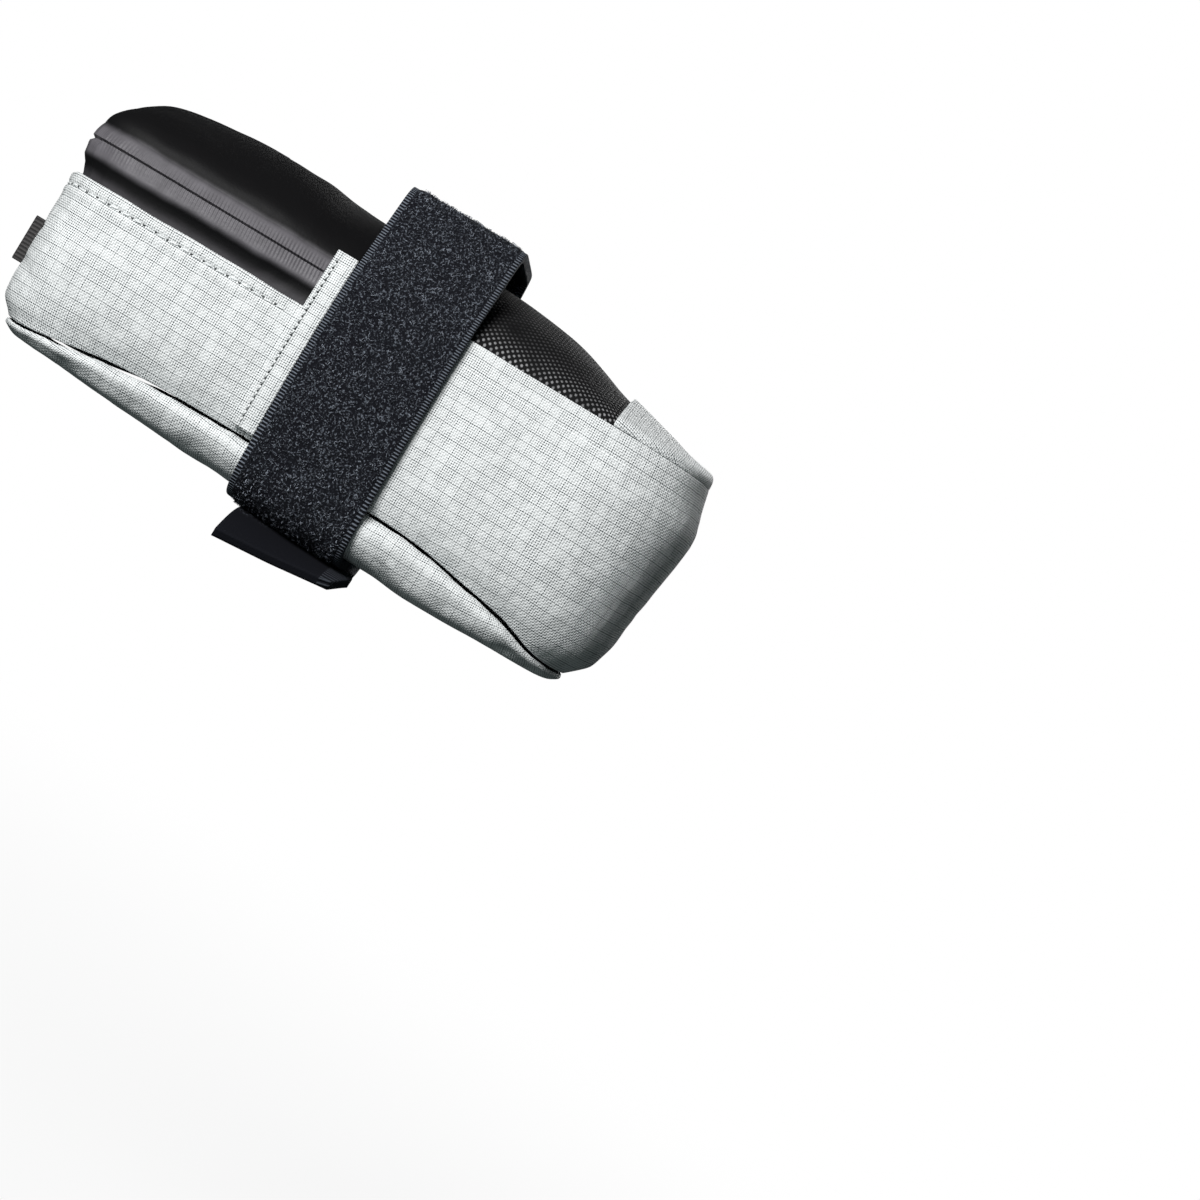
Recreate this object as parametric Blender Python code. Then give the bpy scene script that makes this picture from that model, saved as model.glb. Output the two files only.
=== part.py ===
"""A small bicycle tool bag: sewn cloth panels round an open inside, a zip round the rear and one wide strap.

+X runs along the bag towards its front, +Y towards its far side and +Z up, square to the base. The origin is
the seat on the underside of the strap's bridge, where the bag hangs from the two bars that carry it. Heights in
the tables and in the named sizes run up from the base's lowest point. All sizes are in metres.
"""

from collections import namedtuple

import bmesh
import bpy
import numpy as np

# The bag's body.
BAG_LENGTH = 0.1653
BAG_WIDTH = 0.0760
BAG_HEIGHT = 0.0740
HEM_HEIGHT = 0.0443
ZIP_HEIGHT = 0.0530
CLOTH = 0.0010
GAP = 0.0003
SEAM_TUCK = 0.0016
LAP = 0.0040
REAR_TURN = 0.0380
FRONT_TURN = 0.0400
REAR_ROUND = 0.0120
FRONT_ROUND = 0.0040
RIM = 0.0018
RIM_DROP = 0.0012
NOSE_LENGTH = 0.0293
SWELL_LENGTH = 0.0150
# Shares that shape it: the sides' swell in plan, the fullness of the domed top and the nose panel's middle.
SIDE_BOW = 0.03
DOME_SPREAD = 1.7
DOME_FALL = 0.78
NOSE_MIDDLE = 0.7

# The zip.
TAPE = 0.0010
UPPER_TAPE_WIDTH = 0.0030
COIL_WIDTH = 0.0045
COIL_DEPTH = 0.0015
SLIDER_LENGTH = 0.0090
SLIDER_WIDTH = 0.0070
SLIDER_DEPTH = 0.0040
SLIDER_PLACE = 0.0560
PULL_LENGTH = 0.0220
PULL_WIDTH = 0.0040
PULL_DEPTH = 0.0014
SLIDER_CORNER = 0.3

# The folded strips over the wraps' side joints.
STRIP_WIDTH = 0.0052
STRIP_DEPTH = 0.0009
STRIP_RISE = 0.0018

# The strap, and the two bars that it hangs from.
STRAP_PLACE = 0.0835
STRAP_WIDTH = 0.0299
STRAP_DEPTH = 0.0022
PILE_GAP = 0.0005
INNER_END = 0.0220
CLIMB_LENGTH = 0.0140
CLIMB_CLEAR = 0.0020
TAIL_START = 0.0230
TAIL_REACH = 0.0220
TAIL_DROP = 0.0063
TAIL_DRIFT = 0.0040
TAIL_CURL = 0.0026
TAIL_LESS = 0.32
BRIDGE_RISE = 0.0050
BAR_SPACING = 0.0440
BAR_WIDTH = 0.0070
BAR_HEIGHT = 0.0100

# The webbing loop on the rear end.
LOOP_LENGTH = 0.0400
LOOP_WIDTH = 0.0113
LOOP_DEPTH = 0.0014
LOOP_FOLD = 0.0060
LOOP_HEIGHT = 0.0257

# How far apart the points of each surface lie.
WALL_STEP = 0.0046
LID_STEP = 0.0050
TOP_STEP = 0.0068
BASE_STEP = 0.0052
STRIP_STEP = 0.0042
STRAP_STEP = 0.0028

# Places that follow from them.
REAR_X = -STRAP_PLACE
FRONT_X = REAR_X + BAG_LENGTH
FLOOR_Z = -(BAG_HEIGHT + BRIDGE_RISE)
LID_HEIGHT = ZIP_HEIGHT + UPPER_TAPE_WIDTH
EDGE_HEIGHT = LID_HEIGHT + RIM_DROP
STRIP_TOP = EDGE_HEIGHT + STRIP_RISE
STRAP_REAR = -STRAP_WIDTH / 2
STRIP_FRONT = STRAP_REAR - GAP
STRIP_REAR = STRIP_FRONT - STRIP_WIDTH
JOINT_X = (STRIP_REAR + STRIP_FRONT) / 2
TAPE_END = JOINT_X + LAP / 2
LID_END = TAPE_END + 2 * GAP
NOSE_START = FRONT_X - NOSE_LENGTH
LAYER = CLOTH + 2 * GAP

Turn = namedtuple("Turn", "sign tip depth squareness lean")
REAR = Turn(-1, REAR_X, REAR_TURN, 6.0, "rear_lean")
FRONT = Turn(1, FRONT_X, FRONT_TURN, 2.8, "front_lean")


class Table:
    """A short table that is read smoothly, with no overshoot, between its rows. Its first column is the place."""

    def __init__(self, columns, *rows):
        self.columns = columns.split()
        self.rows = np.array(rows)

    def read(self, column, place):
        steps = self.rows[:, 0]
        values = self.rows[:, self.columns.index(column)]
        slopes = np.diff(values) / np.diff(steps)
        both = slopes[1:] * slopes[:-1]
        total = slopes[1:] + slopes[:-1]
        inner = np.where(both > 0, 2 * both / np.where(total == 0, 1, total), 0)
        tangents = np.concatenate([slopes[:1], inner, slopes[-1:]])
        low = np.clip(np.searchsorted(steps, place) - 1, 0, len(steps) - 2)
        width = steps[low + 1] - steps[low]
        part = np.clip((place - steps[low]) / width, 0, 1)
        rise = part * part * (3 - 2 * part)
        start = part * (1 - part) ** 2 * width * tangents[low]
        end = part * part * (part - 1) * width * tangents[low + 1]
        return values[low] + rise * (values[low + 1] - values[low]) + start + end


# The upright section. Height is a share of the bag's height, half_width of half its width, and the leans, which
# are how far each end stands in from the tip, are shares of its length.
PROFILE = Table(
    "height half_width rear_lean front_lean",
    (0.034, 0.855, 0.0340, 0.0650),
    (0.060, 0.885, 0.0290, 0.0530),
    (0.088, 0.910, 0.0242, 0.0400),
    (0.122, 0.932, 0.0185, 0.0350),
    (0.160, 0.949, 0.0050, 0.0315),
    (0.270, 0.982, 0.0048, 0.0265),
    (0.390, 0.999, 0.0052, 0.0200),
    (0.500, 0.997, 0.0040, 0.0120),
    (0.599, 0.984, 0.0020, 0.0060),
    (0.678, 0.963, 0.0005, 0.0003),
    (0.736, 0.937, 0.0000, 0.0080),
    (0.773, 0.915, 0.0010, 0.0220),
)

# Lines that run the length of the bag: the lower seam, the base's underside and the crown of the top. Place is a
# share of the bag's length from its rear end. The first two are heights as shares of the bag's height, and the
# crown is a share of the dome's rise from its rim to the bag's full height.
LINES = Table(
    "place seam underside crown",
    (0.000, 0.123, 0.078, 0.655),
    (0.050, 0.110, 0.077, 0.778),
    (0.110, 0.124, 0.073, 0.881),
    (0.200, 0.153, 0.057, 0.951),
    (0.300, 0.164, 0.043, 0.990),
    (0.400, 0.166, 0.023, 1.000),
    (0.500, 0.166, 0.007, 1.000),
    (0.600, 0.165, 0.000, 0.980),
    (0.660, 0.159, 0.000, 0.926),
    (0.750, 0.127, 0.001, 0.758),
    (0.830, 0.094, 0.007, 0.517),
    (0.890, 0.049, 0.005, 0.334),
    (0.930, 0.040, 0.002, 0.211),
    (1.000, 0.040, 0.002, 0.053),
)

# Rows of a side wall, from the seam up: share of the wall's height, and share of the seam's tuck.
WALL_ROWS = Table(
    "height tuck",
    (0.00, 1.00),
    (0.03, 0.45),
    (0.09, 0.10),
    (0.20, 0.00),
    (0.38, 0.00),
    (0.58, 0.00),
    (0.79, 0.00),
    (1.00, 0.00),
)

# Rows of the base, from the seam to the middle: how far in, as a share of the way to the middle line, how much of
# the seam's tuck and how much of the drop from seam to underside.
BASE_ROWS = Table(
    "inward tuck drop",
    (0.000, 1.00, 0.00),
    (0.001, 0.25, 0.12),
    (0.006, 0.00, 0.32),
    (0.035, 0.00, 0.58),
    (0.110, 0.00, 0.82),
    (0.240, 0.00, 0.95),
    (0.500, 0.00, 1.00),
    (1.000, 0.00, 1.00),
)

# Rows of the lower zip tape: share of its height, and how far it has come out from behind the hem.
LOWER_TAPE_ROWS = Table(
    "height out",
    (0.00, 0.00),
    (0.37, 0.00),
    (0.66, 0.72),
    (1.00, 1.00),
)

# How the domed top's rows close up on its rim, as shares of the way in to the middle line.
DOME_ROWS = (0.0, 0.045, 0.11, 0.20, 0.32, 0.48, 0.71, 1.0)


def along(x):
    """A place on the bag as a share of its length."""
    return (x - REAR_X) / BAG_LENGTH


def line_height(column, x):
    return BAG_HEIGHT * LINES.read(column, along(x))


def shoulder_x(turn):
    """Where an end's round turn meets the straight side."""
    return turn.tip - turn.sign * turn.depth


def turned(turn, angle, height, inset):
    """A point on an end's turn, as x and distance from the middle: angle 0 at the side and 90 degrees at the tip."""
    reach = turn.depth - BAG_LENGTH * PROFILE.read(turn.lean, height / BAG_HEIGHT) - inset
    width = BAG_WIDTH / 2 * PROFILE.read("half_width", height / BAG_HEIGHT) - inset
    power = turn.squareness
    across = np.abs(np.cos(angle) / width) ** power
    outward = np.abs(np.sin(angle) / reach) ** power
    radius = (across + outward) ** (-1 / power)
    return shoulder_x(turn) + turn.sign * radius * np.sin(angle), radius * np.cos(angle)


def bow(x):
    """The side's slight swell in plan, as a factor of the half width."""
    return 1 - SIDE_BOW * (2 * along(x) - 1) ** 2


def turn_lengths(turn):
    """Angles along an end's turn, and the distance of each from the tip."""
    angles = np.linspace(np.pi / 2, 0, 240)
    x, y = turned(turn, angles, HEM_HEIGHT, 0)
    steps = np.hypot(np.diff(x), np.diff(y))
    return angles, np.concatenate([[0], np.cumsum(steps)])


def outline(turn, distance, height, inset=0.0):
    """Plan points at signed distances round the outline from an end's tip: negative on the near side."""
    angles, lengths = turn_lengths(turn)
    beyond = np.maximum(np.abs(distance) - lengths[-1], 0)
    angle = np.interp(np.abs(distance), lengths, angles)
    x, y = turned(turn, angle, height, inset)
    x = x - turn.sign * beyond
    return x, np.sign(distance) * y * bow(x)


def distance_to(turn, x):
    """How far round the outline it is from an end's tip to x on the side."""
    angles, lengths = turn_lengths(turn)
    places = turn.sign * turned(turn, angles, HEM_HEIGHT, 0)[0]
    past = max(0.0, turn.sign * (shoulder_x(turn) - x))
    return np.interp(turn.sign * x, places[::-1], lengths[::-1]) + past


def half_width(x, height, inset=0.0):
    """Half the bag's width at each x."""
    wide = BAG_WIDTH / 2 * PROFILE.read("half_width", height / BAG_HEIGHT) - inset
    for turn in (REAR, FRONT):
        reach = turn.depth - BAG_LENGTH * PROFILE.read(turn.lean, height / BAG_HEIGHT) - inset
        past = np.clip(turn.sign * (x - shoulder_x(turn)) / reach, 0, 1)
        wide = wide * (1 - past**turn.squareness) ** (1 / turn.squareness)
    return wide * bow(x)


def smooth(share):
    """A rise from 0 to 1 that starts and ends level."""
    share = np.clip(share, 0, 1)
    return share * share * (3 - 2 * share)


def swell(distance):
    """How far a sheet that is tucked behind its neighbour has come out flush with it, from 0 to 1."""
    return smooth(distance / SWELL_LENGTH)


def rear_inset(x, out=1.0):
    """Inset of the sheets round the rear, which run in behind the side strips and stand out elsewhere."""
    return LAYER * (1 - out * swell(STRIP_REAR - x))


def round_off(share):
    return np.sqrt(1 - (1 - np.clip(share, 0, 1)) ** 2)


def dome_height(x, y, inset=0.0):
    """Height of the top's outer face, less an inset."""
    rim = EDGE_HEIGHT + RIM - inset
    rise = (BAG_HEIGHT - EDGE_HEIGHT - RIM) * LINES.read("crown", along(x))
    ends = round_off((x - REAR_X - inset) / REAR_ROUND) * round_off((FRONT_X - inset - x) / FRONT_ROUND)
    across = np.clip(np.abs(y) / np.maximum(half_width(x, EDGE_HEIGHT, inset), 1e-6), 0, 1)
    return rim + rise * ends * (1 - across**DOME_SPREAD) ** DOME_FALL


def material(name, colour, roughness, metallic=0.0):
    made = bpy.data.materials.new(name)
    made.use_nodes = True
    shader = made.node_tree.nodes["Principled BSDF"]
    shader.inputs["Base Color"].default_value = (*colour, 1.0)
    shader.inputs["Roughness"].default_value = roughness
    shader.inputs["Metallic"].default_value = metallic
    return made


def add_mesh(name, shape, surface):
    """Turns a bmesh into a named object with a smooth finish."""
    mesh = bpy.data.meshes.new(name)
    shape.to_mesh(mesh)
    shape.free()
    mesh.materials.append(surface)
    mesh.shade_smooth()
    mesh.set_sharp_from_angle(angle=np.radians(40))
    made = bpy.data.objects.new(name, mesh)
    bpy.context.scene.collection.objects.link(made)
    return made


def sheet(name, grid, surface, thickness, side=-1):
    """A thick sheet over a grid of points. Its thickness lies behind the grid with side -1 and before it with 1."""
    shape = bmesh.new()
    rows = [[shape.verts.new(point) for point in row] for row in grid]
    for low, high in zip(rows, rows[1:]):
        for k in range(len(low) - 1):
            shape.faces.new((low[k], low[k + 1], high[k + 1], high[k]))
    bmesh.ops.remove_doubles(shape, verts=shape.verts, dist=1e-6)
    made = add_mesh(name, shape, surface)
    thicken = made.modifiers.new("thickness", "SOLIDIFY")
    thicken.thickness = thickness
    thicken.offset = side
    thicken.use_even_offset = True
    return made


def stacked(x, y, height):
    return np.stack(np.broadcast_arrays(x, y, height + FLOOR_Z), axis=-1)


def spread(start, end, step):
    """Evenly spaced values with about this step."""
    return np.linspace(start, end, max(2, round(abs(end - start) / step) + 1))


def seam_tuck(x, part=1.0):
    """How far in the lower seam is drawn: less where the base below it is shallow."""
    drop = line_height("seam", x) - line_height("underside", x)
    return part * SEAM_TUCK * np.clip(drop / (2 * SEAM_TUCK) - 1, 0, 1)


def wall(turn, end_x, bottom, top, rows, inset):
    """A grid round one end of the bag, from end_x on one side to end_x on the other and from bottom to top.

    Each row has a share of the height and a second share, which the inset is worked out from.
    """
    reach = distance_to(turn, end_x)
    distance = turn.sign * spread(-reach, reach, WALL_STEP)
    grid = []
    for share, part in rows:
        x = outline(turn, distance, HEM_HEIGHT)[0]
        for _ in range(3):
            height = bottom(x) + share * (top - bottom(x))
            x, y = outline(turn, distance, height, inset(x, part))
        grid.append(stacked(x, y, height))
    return grid


def level(height):
    """A wall's edge that runs level."""
    return lambda x: np.full_like(x, height)


def lower_seam(x):
    return line_height("seam", x)


def make_wraps(grey):
    rear = wall(REAR, JOINT_X - GAP / 2, lower_seam, HEM_HEIGHT, WALL_ROWS.rows, seam_tuck)
    sheet("rear_wrap", rear, grey, CLOTH)
    front = wall(FRONT, JOINT_X + GAP / 2, lower_seam, EDGE_HEIGHT, WALL_ROWS.rows, seam_tuck)
    sheet("front_wrap", front, grey, CLOTH)


def middle_x(x, rear_pole, front_pole):
    """Where a ring's point heads on the middle line."""
    return np.clip(x, rear_pole, front_pole)


def seam_loop():
    """The closed outline of the lower seam, from the middle of the straight side round both ends."""
    middle = (shoulder_x(REAR) + shoulder_x(FRONT)) / 2
    loops = []
    for turn in (FRONT, REAR):
        reach = distance_to(turn, middle)
        distance = spread(-reach, reach, BASE_STEP) * turn.sign
        x = outline(turn, distance, HEM_HEIGHT)[0]
        for _ in range(3):
            height = lower_seam(x)
            x, y = outline(turn, distance, height)
        loops.append(np.stack([x, y], axis=-1))
    return np.concatenate([loops[0], loops[1][1:]])


def make_base(grey):
    loop = seam_loop()
    x, y = loop[:, 0], loop[:, 1]
    target = middle_x(x, shoulder_x(REAR), shoulder_x(FRONT))
    away = np.stack([x - target, y], axis=-1)
    reach = np.linalg.norm(away, axis=-1, keepdims=True)
    grid = []
    for inward, tucked, drop in BASE_ROWS.rows:
        plan = away * (1 - inward) - away / reach * seam_tuck(x, tucked)[:, None]
        place = target + plan[:, 0]
        seam = lower_seam(x) - GAP
        height = seam - drop * (seam - line_height("underside", place))
        grid.append(stacked(place, plan[:, 1], height))
    sheet("base_panel", grid[::-1], grey, CLOTH)


def flush(x):
    """The inset of a sheet that lies flush with the bag's outer face."""
    return np.zeros_like(x)


def dome_end(turn, end_x, pole, bottom, inset_at):
    """Half of the top: rings that run in from the rim round one end to the middle line."""
    reach = distance_to(turn, end_x)
    distance = turn.sign * spread(-reach, reach, LID_STEP)
    inset = inset_at(outline(turn, distance, EDGE_HEIGHT)[0])
    x, y = outline(turn, distance, EDGE_HEIGHT, inset)
    target = middle_x(x, *sorted((end_x, pole)))
    grid = [stacked(*outline(turn, distance, bottom + GAP, inset), bottom + GAP)]
    for share in DOME_ROWS:
        place = target + (x - target) * (1 - share)
        across = y * (1 - share)
        grid.append(stacked(place, across, dome_height(place, across, inset)))
    return grid


def make_top(grey, laminate, woven):
    lid = dome_end(REAR, LID_END, shoulder_x(REAR), LID_HEIGHT, rear_inset)
    sheet("rear_lid", lid, laminate, CLOTH)
    nose = dome_end(FRONT, NOSE_START, FRONT_X - NOSE_LENGTH * NOSE_MIDDLE, EDGE_HEIGHT, flush)
    sheet("nose_panel", nose, grey, CLOTH)
    stations = spread(LID_END + GAP, NOSE_START + LAP, TOP_STEP)
    inward = 1 - np.array(DOME_ROWS)
    across = np.concatenate([-inward, inward[-2::-1]])
    grid = []
    for share in across:
        y = share * half_width(stations, EDGE_HEIGHT, LAYER)
        lift = LAYER * (1 - share**4) * swell(NOSE_START - stations)
        grid.append(stacked(stations, y, dome_height(stations, y, LAYER) + lift))
    skirts = []
    for sign in (-1, 1):
        low = EDGE_HEIGHT - LAP
        skirts.append(stacked(stations, sign * half_width(stations, low, LAYER), np.full_like(stations, low)))
    sheet("top_panel", [skirts[0], *grid, skirts[1]], woven, CLOTH)


def behind_tape(x, out):
    return rear_inset(x, out) + TAPE + 2 * GAP


def make_zip(laminate, metal, coil_black):
    lower = wall(REAR, TAPE_END, level(HEM_HEIGHT - LAP), ZIP_HEIGHT - GAP / 2, LOWER_TAPE_ROWS.rows, rear_inset)
    sheet("zip_tape_lower", lower, laminate, TAPE)
    out = ((0.0, 1.0), (1.0, 1.0))
    upper = wall(REAR, TAPE_END, level(ZIP_HEIGHT + GAP / 2), LID_HEIGHT, out, rear_inset)
    sheet("zip_tape_upper", upper, laminate, TAPE)
    coil_low = level(ZIP_HEIGHT - COIL_WIDTH / 2)
    coil = wall(REAR, STRIP_REAR, coil_low, ZIP_HEIGHT + COIL_WIDTH / 2, out, behind_tape)
    sheet("zip_coil", coil, coil_black, COIL_DEPTH)
    body = add_mesh("zip_slider", box(SLIDER_LENGTH, SLIDER_DEPTH, SLIDER_WIDTH), metal)
    tab = add_mesh("zip_pull_shape", box(PULL_WIDTH, PULL_DEPTH, PULL_LENGTH), metal)
    place_x = REAR_X + SLIDER_PLACE
    low = ZIP_HEIGHT - SLIDER_WIDTH / 2
    tape_y = half_width(np.array([place_x]), low, rear_inset(place_x))[0]
    hem_y = half_width(np.array([place_x]), HEM_HEIGHT - PULL_LENGTH / 2)[0]
    body.location = (place_x, tape_y + GAP + SLIDER_DEPTH / 2, ZIP_HEIGHT + FLOOR_Z)
    tab.location = (place_x, hem_y + GAP + PULL_DEPTH / 2, ZIP_HEIGHT + FLOOR_Z - PULL_LENGTH / 2)
    hide(tab)
    join = body.modifiers.new("pull", "BOOLEAN")
    join.operation = "UNION"
    join.object = tab


def box(length, depth, height):
    shape = bmesh.new()
    bmesh.ops.create_cube(shape, size=1.0)
    bmesh.ops.scale(shape, verts=shape.verts, vec=(length, depth, height))
    corner = min(length, depth, height) * SLIDER_CORNER
    bmesh.ops.bevel(shape, geom=shape.edges[:], offset=corner, segments=2, affect="EDGES", profile=0.5)
    return shape


def hide(thing):
    thing.hide_render = True
    thing.display_type = "WIRE"


def make_strips(grey):
    """The folded strips that cover the joint between the wraps on each side."""
    stations = np.linspace(STRIP_REAR, STRIP_FRONT, 3)
    for name, sign in (("near_side_strip", -1), ("far_side_strip", 1)):
        bottom = lower_seam(np.array([JOINT_X]))[0] + SEAM_TUCK
        grid = []
        for height in spread(bottom, STRIP_TOP, STRIP_STEP):
            y = sign * half_width(stations, min(height, EDGE_HEIGHT), -GAP)
            grid.append(stacked(stations, y, height))
        sheet(name, grid[:: -sign], grey, STRIP_DEPTH, 1)


def hull(points):
    """The taut loop round a set of plane points, counter-clockwise from the leftmost."""
    points = sorted(set(map(tuple, points)))

    def chain(ordered):
        kept = []
        for point in ordered:
            while len(kept) > 1 and np.cross(np.subtract(kept[-1], kept[-2]), np.subtract(point, kept[-1])) <= 0:
                kept.pop()
            kept.append(point)
        return kept[:-1]

    return np.array(chain(points) + chain(points[::-1]))


def section(x):
    """Plane points, as y and z, of the bag and the two bars at one x."""
    seam = lower_seam(np.array([x]))[0]
    heights = np.linspace(seam, EDGE_HEIGHT, 40)
    sides = half_width(np.full_like(heights, x), heights)
    inward = np.linspace(0, 1, 60)
    drop = BASE_ROWS.read("drop", inward)
    base = half_width(np.array([x]), seam)[0] * (1 - inward)
    low = seam - drop * (seam - line_height("underside", np.array([x]))[0])
    half = np.concatenate([np.stack([sides, heights], axis=-1), np.stack([base, low], axis=-1)])
    half[:, 1] += FLOOR_Z
    angle = np.linspace(0, 2 * np.pi, 24, endpoint=False)
    bar_y = BAR_SPACING / 2 + BAR_WIDTH / 2 * np.sin(angle)
    bar_z = -GAP - BAR_HEIGHT / 2 * (1 - np.cos(angle))
    half = np.concatenate([half, np.stack([bar_y, bar_z], axis=-1)])
    return np.concatenate([half, half * (-1, 1)])


def taut_loop(x):
    """A smooth reading of the loop that the strap takes at one x: from the base's middle up the near side."""
    loop = hull(section(x))[::-1]
    near = np.where(loop[:, 0] < -GAP, loop[:, 1] - loop[:, 0], np.inf)
    loop = np.roll(loop, -np.argmin(near), axis=0)
    middle = (0, loop[0][1])
    loop = np.concatenate([[middle], loop, [middle]])
    steps = np.linalg.norm(np.diff(loop, axis=0), axis=1)
    return loop, np.concatenate([[0], np.cumsum(steps)])


def strap_line(x, count):
    """The strap's inner face at one x. It starts under the base on the far side and ends in the free tail."""
    loop, lengths = taut_loop(x)
    whole = lengths[-1]
    place = np.linspace(-INNER_END, whole + TAIL_START, count)

    def on_loop(where):
        around = np.mod(where, whole)
        return np.stack([np.interp(around, lengths, loop[:, axis]) for axis in (0, 1)], axis=-1)

    points = on_loop(place)
    forward = on_loop(place + STRAP_STEP / 3) - on_loop(place - STRAP_STEP / 3)
    forward /= np.linalg.norm(forward, axis=1, keepdims=True)
    outward = np.stack([-forward[:, 1], forward[:, 0]], axis=-1)
    climb_end = whole - INNER_END - CLIMB_CLEAR
    climb = smooth((place - climb_end) / CLIMB_LENGTH + 1)
    points = points + outward * (GAP + climb * (STRAP_DEPTH + PILE_GAP))[:, None]
    share = (x - STRAP_REAR) / STRAP_WIDTH
    reach = spread(0, 1, STRAP_STEP / TAIL_REACH)[1:, None]
    tail_end = (-TAIL_REACH * (1 - TAIL_LESS * share), -TAIL_DROP * (1 - 2 * TAIL_LESS * share))
    tail = points[-1] + reach * (tail_end[0], 0) + reach**2 * (0, tail_end[1])
    drift = np.clip((place - whole + INNER_END) / (TAIL_START + INNER_END), 0, 1) * TAIL_DRIFT
    curled = TAIL_DRIFT - TAIL_CURL * share * reach[:, 0] ** 2
    line = np.concatenate([points, tail])
    return np.stack([x + np.concatenate([drift, curled]), line[:, 0], line[:, 1]], axis=-1)


def make_strap(black):
    stations = np.linspace(STRAP_REAR, -STRAP_REAR, 3)
    count = round((taut_loop(0.0)[1][-1] + INNER_END + TAIL_START) / STRAP_STEP)
    sheet("strap", [strap_line(x, count) for x in stations[::-1]], black, STRAP_DEPTH, 1)


def make_loop(webbing):
    """The webbing on the rear end: a flat band whose two ends are folded under and sewn down."""
    heights = (LOOP_HEIGHT - LOOP_WIDTH / 2, LOOP_HEIGHT + LOOP_WIDTH / 2)
    face = min(outline(REAR, np.array([0.0]), height)[0][0] for height in heights)
    back = face - GAP
    under = back - LOOP_DEPTH
    half = LOOP_LENGTH / 2
    fold = half - LOOP_FOLD
    front = under - LOOP_DEPTH
    plan = (
        (back, half),
        (back, fold),
        (under, fold),
        (under, -fold),
        (back, -fold),
        (back, -half),
        (front, -half),
        (front, half),
    )
    shape = bmesh.new()
    foot = shape.faces.new([shape.verts.new((x, y, heights[0] + FLOOR_Z)) for x, y in plan])
    grown = bmesh.ops.extrude_face_region(shape, geom=[foot])["geom"]
    lifted = [part for part in grown if isinstance(part, bmesh.types.BMVert)]
    bmesh.ops.translate(shape, verts=lifted, vec=(0, 0, LOOP_WIDTH))
    bmesh.ops.recalc_face_normals(shape, faces=shape.faces)
    add_mesh("light_loop", shape, webbing)


def main():
    for thing in list(bpy.data.objects):
        bpy.data.objects.remove(thing)
    grey = material("grey ripstop", (0.62, 0.64, 0.65), 0.75)
    laminate = material("black laminate", (0.020, 0.019, 0.020), 0.35)
    woven = material("black woven cloth", (0.018, 0.018, 0.018), 0.80)
    black = material("black loop pile", (0.016, 0.017, 0.022), 0.95)
    webbing = material("dark webbing", (0.055, 0.052, 0.052), 0.85)
    metal = material("black slider", (0.020, 0.020, 0.022), 0.35, 0.6)
    coil_black = material("zip coil", (0.015, 0.015, 0.016), 0.50)
    make_base(grey)
    make_wraps(grey)
    make_strips(grey)
    make_zip(laminate, metal, coil_black)
    make_top(grey, laminate, woven)
    make_strap(black)
    make_loop(webbing)


main()
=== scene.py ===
"""The looks of a small cloth bag with a zip and one wide strap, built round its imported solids.

Sizes are in metres, except the threads and the pitches of the weaves and ribs, which are in millimetres.
"""

import math

import bmesh
import bpy
import numpy as np
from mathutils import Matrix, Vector, noise
from mathutils.bvhtree import BVHTree


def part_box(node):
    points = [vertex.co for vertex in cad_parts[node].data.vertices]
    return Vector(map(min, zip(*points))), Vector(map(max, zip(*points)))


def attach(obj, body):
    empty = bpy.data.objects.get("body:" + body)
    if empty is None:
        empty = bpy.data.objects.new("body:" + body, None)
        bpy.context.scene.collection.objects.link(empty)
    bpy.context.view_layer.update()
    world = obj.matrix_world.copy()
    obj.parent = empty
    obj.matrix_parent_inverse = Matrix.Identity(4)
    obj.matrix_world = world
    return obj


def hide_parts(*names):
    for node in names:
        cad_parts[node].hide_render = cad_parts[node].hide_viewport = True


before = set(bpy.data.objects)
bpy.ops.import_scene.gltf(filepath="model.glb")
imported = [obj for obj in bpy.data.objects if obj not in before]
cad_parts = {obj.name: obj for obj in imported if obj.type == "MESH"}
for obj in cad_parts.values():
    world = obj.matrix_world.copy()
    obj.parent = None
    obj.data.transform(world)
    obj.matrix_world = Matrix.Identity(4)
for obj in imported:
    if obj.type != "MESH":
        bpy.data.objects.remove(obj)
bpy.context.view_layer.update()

# The view. The bag hangs with its nose down, so the camera is rolled by the bag's own tilt. It looks square
# at the near side, from as far away as a photographer would stand with a short telephoto lens.
TILT = math.radians(31)
VIEW_POINT = (0.0695, -0.672, -0.0568)
LENS = 85.8

camera = bpy.data.objects.new("camera", bpy.data.cameras.new("camera"))
camera.data.lens = LENS
camera.data.clip_start = 0.05
camera.location = VIEW_POINT
camera.rotation_euler = (math.radians(90), -TILT, 0)
bpy.context.scene.collection.objects.link(camera)
bpy.context.scene.camera = camera
bpy.context.scene.view_settings.view_transform = "Standard"


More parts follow.
